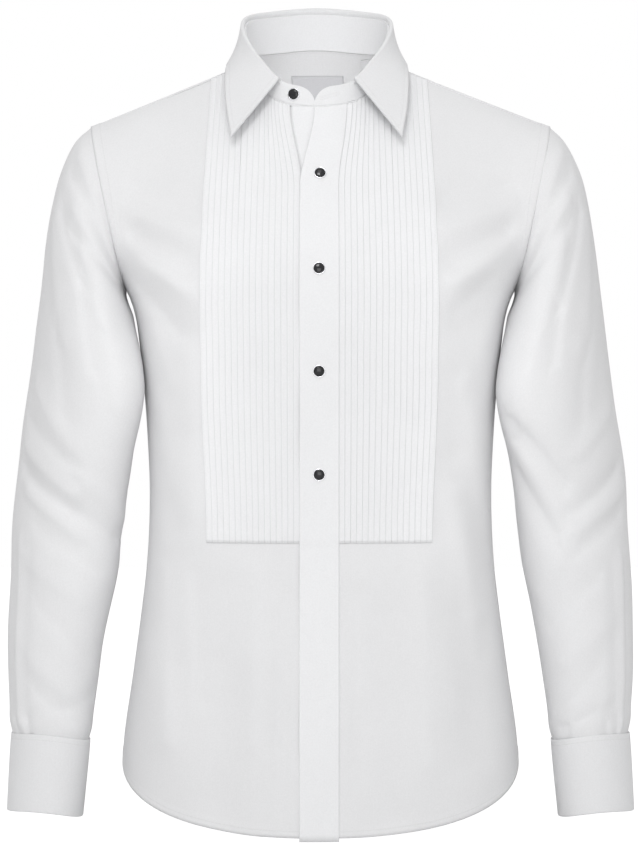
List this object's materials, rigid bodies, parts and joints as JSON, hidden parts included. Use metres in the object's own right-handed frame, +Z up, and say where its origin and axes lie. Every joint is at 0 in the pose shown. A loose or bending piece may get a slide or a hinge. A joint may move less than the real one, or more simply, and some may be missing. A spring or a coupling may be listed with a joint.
{
  "type": "long sleeve dress shirt",
  "caption": "Long-sleeved formal dress shirt with a tucked bib, turn-down collar left open, front placket closed with studs, double cuffs and a curved hem; hollow, in the form it has when worn.",
  "frame": {"origin": "middle of the neck opening, level with the high points of the shoulders, where the wearer's shoulders carry the shirt", "axes": "+Z up along the body, -Y out of the front, +X towards the wearer's left"},
  "size_m": [0.61, 0.2523, 0.8209],
  "materials": {
    "cloth": "plain white cotton, matte",
    "fused_cloth": "white cotton over interlining, smooth",
    "label_satin": "grey satin, blank",
    "stud_metal": "polished silver",
    "stud_black": "glossy black dome"
  },
  "bodies": {
    "root": {"front_left": "cloth", "front_right": "cloth", "bib_left": "cloth", "bib_right": "cloth", "back": "cloth", "sleeve_left": "cloth", "sleeve_right": "cloth", "sleeve_placket_left": "cloth", "sleeve_placket_right": "cloth", "yoke": "fused_cloth", "placket": "fused_cloth", "under_placket": "fused_cloth", "collar_stand": "fused_cloth", "collar_fall": "fused_cloth", "cuff_left": "fused_cloth", "cuff_right": "fused_cloth", "neck_label": "label_satin", "size_tab": "label_satin", "stud_rim_1": "stud_metal", "stud_rim_2": "stud_metal", "stud_rim_3": "stud_metal", "stud_rim_4": "stud_metal", "collar_stud_rim": "stud_metal", "cuff_link_rim_left": "stud_metal", "cuff_link_rim_right": "stud_metal", "stud_face_1": "stud_black", "stud_face_2": "stud_black", "stud_face_3": "stud_black", "stud_face_4": "stud_black", "collar_stud_face": "stud_black", "cuff_link_face_left": "stud_black", "cuff_link_face_right": "stud_black"}
  },
  "joints": []
}
